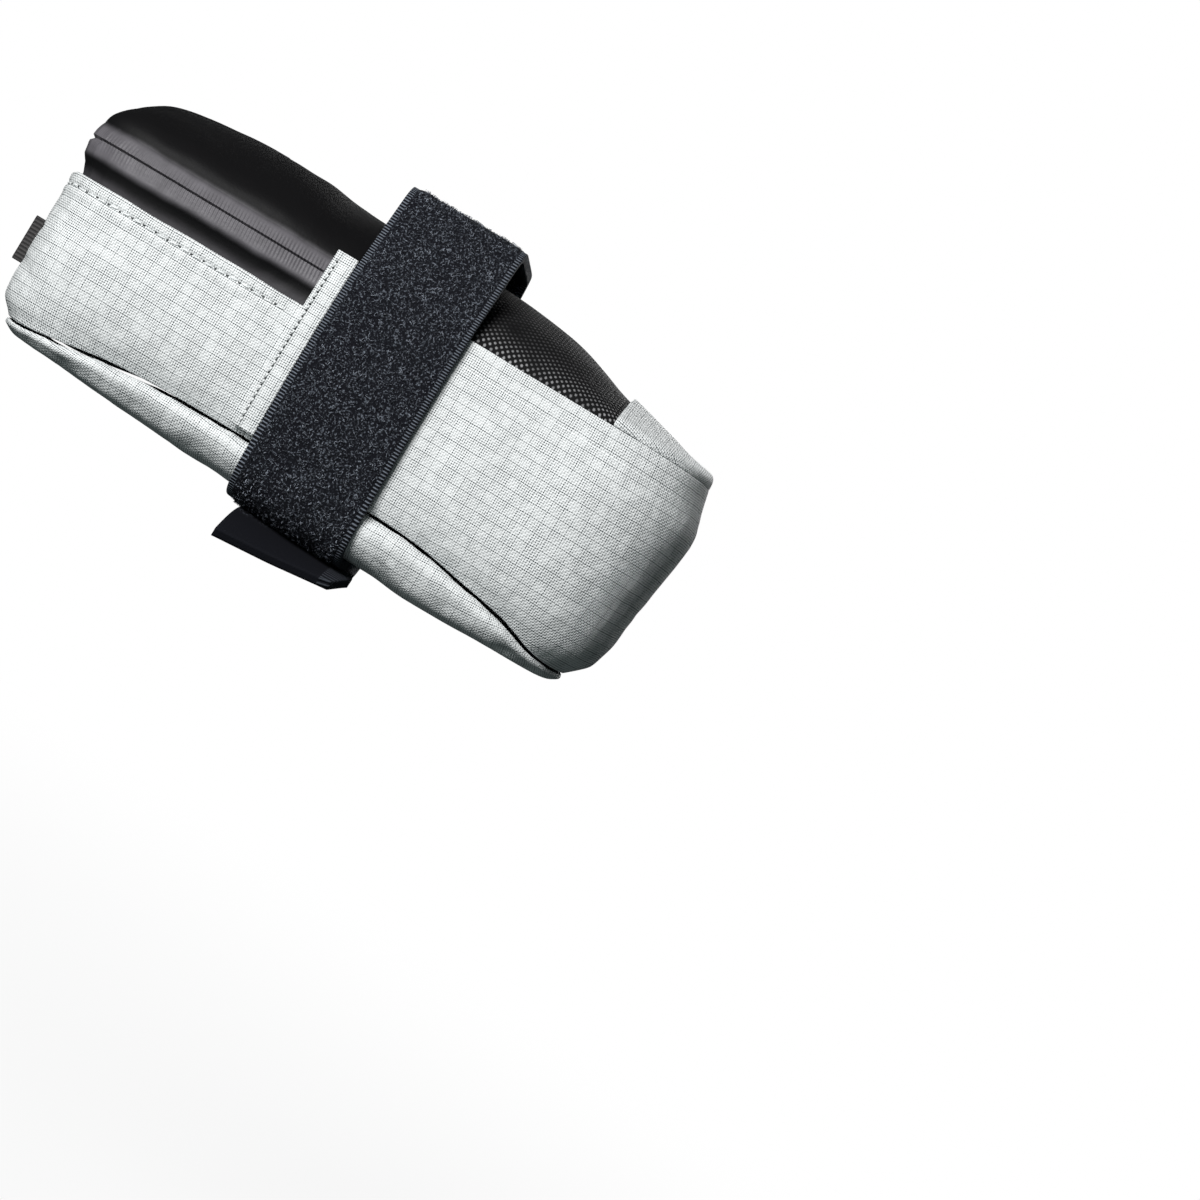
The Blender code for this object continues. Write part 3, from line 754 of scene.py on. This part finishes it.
for side in ("near", "far"):
    strip = cloth_mesh(f"{side}_side_strip", f"{side}_strip_cloth", 3)
    spots = points_of(strip)
    low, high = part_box(f"{side}_side_strip")
    place = (spots[:, 0] - low.x) / (high.x - low.x)
    roll = FOLD_RISE * hump(place - 0.78, 0.2) - SEWN_DIP * hump(place - 0.35, 0.12)
    roll += STRIP_DENT * lumps(spots * (0.4, 0, 1), 0.004, 8.0)
    spots[:, 1] += np.sign(spots[:, 1]) * roll
    move_points(strip, spots)
    lay_cloth(strip, spots[:, 0], spots[:, 2])
    finish_piece(strip, grey_cloth)
    heights = np.arange(low.z + STRIP_MARGIN, high.z - STRIP_MARGIN, STRIP_STITCH)
    shell = BVHTree.FromObject(strip, bpy.context.evaluated_depsgraph_get())
    outward_y = Vector((0, -1 if side == "near" else 1, 0))
    starts = [Vector((low.x + STRIP_INSET, 0, z)) + outward_y * RAY for z in heights]
    line = np.array([shell.ray_cast(start, -outward_y)[0] for start in starts])
    outs = np.tile(outward_y, (len(line), 1))
    lean = np.tile((0.35, 0, 1.0), (len(line), 1))
    # The second row is the painted shade of the needle holes between the strip's stitches.
    for kind, share, finish in (("stitches", 0.72, grey_thread), ("hole_shades", 0.42, hole_shade)):
        name, length = f"{side}_strip_{kind}", STRIP_STITCH * share
        thread_row(name, line, lean, outs, length, STRIP_THREAD, finish)
        line[:, 2] += STRIP_STITCH / 2

# The zip: two bands of black laminated cloth whose edges meet over a coil, which shows through them as a
# row of small ridges. The laminate is dull black, with a painted grey sheen over the coil and a fainter one
# by the hem.
LAMINATE_BLACK = (0.0032, 0.0030, 0.0035)
LAMINATE_SHEEN = (0.134, 0.127, 0.139)
SHEEN_FROM = 0.0028
SHEEN_TO = 0.0048
HEM_SHEEN_START = 0.0060
HEM_SIDE = 0.0085
HEM_SHARE = 0.36
COIL_PITCH = 0.00085
COIL_REACH = 0.0031
RIDGE_HEIGHT = 0.00021
BAND_HEIGHTS = (-0.0100, -0.0054, -0.0038, 0.0, 0.0031, 0.0052)
BAND_STAND = (-0.0003, -0.0001, 0.0009, 0.0006, 0.00035, -0.0009)
LAP_UP = 0.0022
SLIT_CLOSE = 0.00010
ZIP_LINE = -0.0260
LID_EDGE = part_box("zip_tape_upper")[1].z
LOWER_ROWS = 17


def laminate(name):
    made = Finish(name, Specular_IOR_Level=0.20)
    fine = made.grain(0.0006, 2)
    wander = made.grain(0.010, 3) * 0.0015 - 0.00075
    off = made.place_part(2) + wander - ZIP_LINE
    # Painted sheen: the grey over the coil and the fainter grey by the hem stand for reflections of the
    # light.
    coil_sheen = off.math("ABSOLUTE").band(SHEEN_TO, SHEEN_FROM)
    hem_sheen = off.band(-HEM_SHEEN_START, -HEM_SIDE) * HEM_SHARE
    painted_sheen = coil_sheen.math("MAXIMUM", hem_sheen) * (0.55 + made.grain(0.004, 3) * 0.6)
    made.feed(Base_Color=made.mixed(painted_sheen, LAMINATE_BLACK, LAMINATE_SHEEN))
    made.feed(Roughness=0.62 - painted_sheen * 0.22 + fine * 0.05)
    made.raised(fine * 0.4 + made.grain(0.003, 2), 0.00010)
    return made


black_laminate = laminate("black laminate")


def dress_tape(name, node, shell, rows):
    """One band of the zip, with the ridges of the coil pressed through it."""
    low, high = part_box(node)
    headings = end_headings(REAR_POLE, high.x - EDGE_INSET, COIL_PITCH / 5)
    lines, ring, outs = level_lines(shell, headings, low.z, high.z, rows)
    off = lines[..., 2] - ZIP_LINE
    lean = np.where(off < 0, 0.9, -0.15) * off
    unsteady = lumps(lines[:, 0], 0.004, 2.0)[:, None] * 1.2
    ridges = 0.5 + 0.5 * np.sin(2 * math.pi * (ring[:, None] - lean) / COIL_PITCH + unsteady)
    fade = rise(np.abs(off), COIL_REACH, COIL_REACH * 0.5)
    side_on = 0.35 + 0.65 * np.abs(outs[:, 1:2])
    stand = np.interp(off, BAND_HEIGHTS, BAND_STAND) * side_on
    lines += outs[:, None] * (stand + RIDGE_HEIGHT * ridges * fade)[..., None]
    edge = np.abs(off).min(axis=1, keepdims=True) == np.abs(off)
    lines[..., 2] -= np.sign(off) * edge * SLIT_CLOSE
    piece = grid_piece(name, node, lines, wall_flats(lines, ring), False, 0)
    finish_piece(piece, black_laminate)
    return piece


def lower_rows(bottom, top):
    return np.linspace(bottom, top, LOWER_ROWS)


def upper_rows(bottom, top):
    """Heights from the zip's line up over the lower edge of the lid, which the band is sewn to."""
    on_tape = np.linspace(bottom, LID_EDGE - 0.0002, 6)
    return np.concatenate([on_tape, LID_EDGE + np.linspace(0.0004, LAP_UP, 5)])


lower_band = dress_tape("lower_zip_band", "zip_tape_lower", shell_of("zip_tape_lower"), lower_rows)
tape_and_lid = shell_of("zip_tape_upper", "rear_lid")
upper_band = dress_tape("upper_zip_band", "zip_tape_upper", tape_and_lid, upper_rows)

coil = cloth_mesh("zip_coil", "zip_coil_row", 2)
coil_black = Finish("coil nylon", Base_Color=(0.012, 0.012, 0.013), Roughness=0.45)
coil_black.raised(coil_black.grain(COIL_PITCH, 1), 0.0002)
finish_piece(coil, coil_black)

# The slider: cast metal painted black, which rides on the coil on the far side. Its flat pull hangs down over
# the hem. The solid has the right shape, so it only gets its paint here.
slider_paint = Finish("slider paint", Metallic=0.55)
scuff = slider_paint.grain(0.0015, 4)
slider_paint.feed(Base_Color=slider_paint.mixed(scuff, (0.016, 0.016, 0.018), (0.045, 0.045, 0.048)))
slider_paint.feed(Roughness=0.30 + scuff * 0.25)
slider_paint.raised(slider_paint.grain(0.0005, 2), 0.00003)
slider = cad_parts["zip_slider"]
slider.data.materials.clear()
slider.data.materials.append(slider_paint.material)

# The top: a dome of black laminate over the rear, which the upper zip band is sewn to, coarse black nylon
# over the front half, and a grey ripstop piece over the nose, whose rear edge meets the nylon.
NYLON_BLACK = (0.007, 0.007, 0.0075)
NYLON_GLINT = (0.44, 0.44, 0.45)
NYLON_PITCH = 0.86
NYLON_FADE = -0.014
EDGE_CLOSE = 0.0005
CROWN_HALF = 0.004
NOSE_MIDDLE = -0.032
NOSE_ROUND = 90
NOSE_BACK = 0.00105
NOSE_LEAN = 0.02
NOSE_UP = 24
NOSE_DENT = 0.0003


def over_top(piece):
    """How far across the dome each point lies from its crown's line, which is read from the outer face."""
    spots = points_of(piece)
    x, y, z = spots.T
    ridge = (normals_of(piece)[:, 2] > 0.5) & (np.abs(y) < CROWN_HALF)
    crown = np.polyval(np.polyfit(x[ridge], z[ridge], 4), x)
    return np.sign(y) * np.hypot(y, np.maximum(crown - z, 0))


def close_down(point):
    """Lowers the edge of a top piece on to the piece below it."""
    on_seam = abs(point.y) > 0.02 or point.x < -0.07 or point.x > 0.06
    return (0, 0, -EDGE_CLOSE if on_seam else 0)


def dress_top(node, name, levels, depth, finish):
    piece = cloth_mesh(node, name, levels, shift=close_down)
    spots = points_of(piece)
    low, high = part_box(node)
    free = away_from_strap(spots[:, 0]) * rise(spots[:, 2], low.z, low.z + 0.006)
    move = depth * lumps(spots, 0.018, 7.0) + depth * 0.4 * lumps(spots, 0.007, 1.0)
    spots[:, 2] += move * free
    move_points(piece, spots)
    lay_cloth(piece, spots[:, 0], over_top(piece))
    finish_piece(piece, finish)
    return piece


def woven_nylon(name):
    """Coarse nylon: a basket weave whose raised threads catch the light as rows of dots. The dots' grey is
    a painted highlight, strongest at the panel's lower edge and faded out higher up as painted shade.
    """
    made = Finish(name, Specular_IOR_Level=0.12)
    across, up = made.parts(made.node("ShaderNodeAttribute", {"attribute_name": "cloth"}, output=1))[:2]
    rising, falling = (across + up).sine(4 * NYLON_PITCH), (across - up).sine(4 * NYLON_PITCH)
    dots = (rising * falling).math("ABSOLUTE").band(0.45, 0.90)
    patches = made.grain(0.008, 2)
    # Painted shade: the glints fade out above NYLON_FADE, where the top lies in shade.
    low_down = made.place_part(2).band(NYLON_FADE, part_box("top_panel")[0].z)
    painted_sheen = patches.band(0.2, 0.6) * (0.10 + low_down * 0.90)
    made.feed(Base_Color=made.mixed(dots * painted_sheen, NYLON_BLACK, NYLON_GLINT))
    made.feed(Roughness=0.80 - dots * 0.20)
    made.raised(dots + made.grain(0.0004, 2) * 0.3, 0.00018)
    return made


black_nylon = woven_nylon("black woven nylon")
lid = dress_top("rear_lid", "lid_cloth", 2, 0.0006, black_laminate)
front_top = dress_top("top_panel", "front_top_cloth", 2, 0.0005, black_nylon)

turn = np.linspace(-1, 1, NOSE_ROUND) * (math.pi / 2 + NOSE_LEAN)
rear_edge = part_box("nose_panel")[0].x + NOSE_BACK
headings = [(rear_edge, angle) for angle in turn]
lines, flats, depths = upright_lines(shell_of("nose_panel"), headings, NOSE_MIDDLE, 1, NOSE_UP)
lines[..., 2] -= EDGE_CLOSE * hump(depths, 0.0012)
nose = grid_piece("nose_top_cloth", "nose_panel", lines, flats, False, 1)
spots = points_of(nose)
spots[:, 2] += NOSE_DENT * lumps(spots, 0.010, 7.0)
move_points(nose, spots)
finish_piece(nose, grey_cloth)

# The strap: a wide hook-and-loop band with its loop side out and a ribbed edge along each side. It goes
# round the bag and up over the bars that carry it, and its free end stands out under the base.
PILE_BLACK = (0.0045, 0.005, 0.008)
PILE_TIP = (0.24, 0.27, 0.32)
ACROSS_CUTS = 5
CROSSING = 0.010
SELVEDGE = 0.0014
ROUND_RADIUS = 0.040
PILE_RISE = 0.00035
RIB_PITCH = 0.70
LOOP_COUNT = 9300
LOOP_SPAN = 0.00036
TAIL_Z = -0.0812
TAIL_Y = -0.0225
TAIL_FADE = 0.0005
LOOP_THICK = 0.00009
FIBRE_RINGS = 4
FIBRE_SIDES = 3


def runs_across(edge):
    """Whether an edge crosses the strap from side to side."""
    run = edge.verts[0].co - edge.verts[1].co
    return abs(run.x) > CROSSING


strap = cloth_mesh("strap", "strap_band", 2, cut=runs_across, cuts=ACROSS_CUTS)
spots = points_of(strap)
faces_out = normals_of(strap)
middle = (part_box("strap")[1].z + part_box("base_panel")[0].z) / 2
around = np.arctan2(spots[:, 1], spots[:, 2] - middle)
leads_out = (faces_out[:, 1] * spots[:, 1] + faces_out[:, 2] * (spots[:, 2] - middle)) > 0
edge_off = STRAP_HALF - np.abs(spots[:, 0])
on_tail = (spots[:, 2] < TAIL_Z) & (spots[:, 1] < TAIL_Y)
pile = rise(edge_off, SELVEDGE, SELVEDGE + 0.0004) * ~on_tail
fuzz = lumps(spots, 0.0008, 2.0)
move = np.where(leads_out, PILE_RISE * pile * (0.7 + 0.6 * fuzz), 0.0)
spots += faces_out * move[:, None]
move_points(strap, spots)
lay_cloth(strap, spots[:, 0], around * ROUND_RADIUS)


def loop_pile(name):
    """The loop side: fine curly fibres, dark between them and grey-blue where they catch the light."""
    made = Finish(name, Specular_IOR_Level=0.15, Roughness=0.85)
    across, along = made.parts(made.node("ShaderNodeAttribute", {"attribute_name": "cloth"}, output=1))[:2]
    pile_half = (STRAP_HALF - SELVEDGE) * 1000
    edge = across.math("ABSOLUTE").band(pile_half, pile_half + 0.15)
    y, z = made.place_part(1), made.place_part(2)
    tail = z.band(TAIL_Z + TAIL_FADE, TAIL_Z - TAIL_FADE) * y.band(TAIL_Y + TAIL_FADE, TAIL_Y - TAIL_FADE)
    curls = made.grain(0.00045, 3, 0.65)
    tips = curls.band(0.52, 0.72) * (1 - tail)
    ribs = along.sine(RIB_PITCH) * 0.5 + 0.5
    light = tips * (1 - edge) * 0.75 + ribs.band(0.45, 0.90) * edge * (0.62 - tail * 0.45)
    made.feed(Base_Color=made.mixed(light, PILE_BLACK, PILE_TIP))
    made.raised(curls * (1 - edge) * (1.4 - tail) + ribs * edge * 0.8, 0.00035)
    return made


pile_finish = loop_pile("loop pile")
finish_piece(strap, pile_finish)


def pile_loops(name, band, count):
    """One mesh of tiny arched fibres, scattered over the strap's outer face between its two ribbed edges."""
    chance = np.random.default_rng(5)
    areas = np.array([face.area for face in band.data.polygons])
    middles = np.array([face.center for face in band.data.polygons])
    facing = np.array([face.normal for face in band.data.polygons])
    lean = facing[:, 1] * middles[:, 1] + facing[:, 2] * (middles[:, 2] - middle)
    open_face = (lean > 0) & (np.abs(middles[:, 0]) < STRAP_HALF - SELVEDGE - LOOP_SPAN)
    open_face &= (middles[:, 2] > TAIL_Z) | (middles[:, 1] > TAIL_Y)
    areas *= open_face
    picked = chance.choice(len(areas), count, p=areas / areas.sum())
    out = facing[picked]
    spread = np.sqrt(areas[picked])[:, None]
    run = np.cross(out, chance.normal(size=(count, 3)))
    run /= np.linalg.norm(run, axis=1, keepdims=True)
    side = np.cross(out, run)
    foot = middles[picked] + spread * (chance.random((count, 1)) - 0.5) * run
    foot += spread * (chance.random((count, 1)) - 0.5) * side
    half = LOOP_SPAN * (0.6 + 0.8 * chance.random(count))[:, None, None]
    tall = half * (0.5 + 0.9 * chance.random(count))[:, None, None]
    bend = half * (chance.random(count)[:, None, None] - 0.5)
    arc = np.linspace(-0.15, 1.15, FIBRE_RINGS)[None, :, None] * math.pi
    path = -np.cos(arc) * half * run[:, None] + np.sin(arc) * tall * out[:, None]
    path += np.sin(2 * arc) * bend * side[:, None] + foot[:, None]
    turns = np.arange(FIBRE_SIDES)[None, None, :, None] * 2 * math.pi / FIBRE_SIDES
    across = -np.cos(arc) * out[:, None] * 0.5 + np.sin(arc) * run[:, None] * 0.5
    around_path = np.cos(turns) * side[:, None, None] + np.sin(turns) * across[:, :, None]
    points = (path[:, :, None] + LOOP_THICK * around_path).reshape(-1, 3)
    tube = []
    for low in range(0, FIBRE_SIDES * (FIBRE_RINGS - 1), FIBRE_SIDES):
        for place in range(FIBRE_SIDES):
            this, ahead = low + place, low + (place + 1) % FIBRE_SIDES
            tube.append((this, ahead, ahead + FIBRE_SIDES, this + FIBRE_SIDES))
    cap = np.arange(FIBRE_SIDES)
    caps = np.array([cap[::-1], cap + FIBRE_SIDES * (FIBRE_RINGS - 1)])
    first = (np.arange(count) * FIBRE_RINGS * FIBRE_SIDES)[:, None, None]
    walls = (first + np.array(tube)[None]).reshape(-1, 4)
    ends = (first + caps[None]).reshape(-1, FIBRE_SIDES)
    mesh = bpy.data.meshes.new(name)
    mesh.from_pydata(points.tolist(), [], walls.tolist() + ends.tolist())
    mesh.shade_smooth()
    made = bpy.data.objects.new(name, mesh)
    bpy.context.scene.collection.objects.link(made)
    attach(made, "root")
    return made


# Painted highlight: some fibres are coloured grey-blue where they would catch the light, the rest near black.
fibre = Finish("strap fibre", Specular_IOR_Level=0.35, Roughness=0.55)
fibre_glint = fibre.grain(0.0012, 2).band(0.35, 0.70)
fibre.feed(Base_Color=fibre.mixed(fibre_glint, (0.008, 0.009, 0.014), (0.32, 0.35, 0.41)))
loops = pile_loops("strap_fibres", strap, LOOP_COUNT)
finish_piece(loops, fibre)

# The webbing on the rear end: a dark ribbed band for a lamp's clip, with both ends folded under and sewn down
# by a close row of stitches across each fold.
TACK_INSET = 0.0032
TACK_WIDTH = 0.0022
TACK_PITCH = 0.00060
TACK_MARGIN = 0.0013
TACK_THREAD = 0.00045
webbing_piece = cloth_mesh("light_loop", "lamp_webbing", 0)
bevel = webbing_piece.modifiers.new("soft edges", "BEVEL")
bevel.width = 0.0004
bevel.segments = 3
webbing = Finish("dark webbing", Roughness=0.75, Specular_IOR_Level=0.3)
twill = (webbing.place_part(1) * 1000 + webbing.place_part(2) * 500).sine(0.45) * 0.5 + 0.5
webbing.feed(Base_Color=webbing.mixed(twill, (0.018, 0.017, 0.017), (0.060, 0.056, 0.056)))
webbing.raised(twill, 0.00018)
finish_piece(webbing_piece, webbing)
black_thread = Finish("black thread", Roughness=0.45)
ply = black_thread.grain(0.0006)
black_thread.feed(Base_Color=black_thread.mixed(ply, (0.030, 0.029, 0.030), (0.10, 0.097, 0.10)))
low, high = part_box("light_loop")
heights = np.arange(low.z + TACK_MARGIN, high.z - TACK_MARGIN, TACK_PITCH)
line = np.array([(low.x, y, z) for y in (low.y + TACK_INSET, high.y - TACK_INSET) for z in heights])
heads, outs = np.tile((0, 1, 0.12), (len(line), 1)), np.tile((-1, 0, 0), (len(line), 1))
tacks = thread_row("webbing_tacks", line, heads, outs, TACK_WIDTH, TACK_THREAD, black_thread)
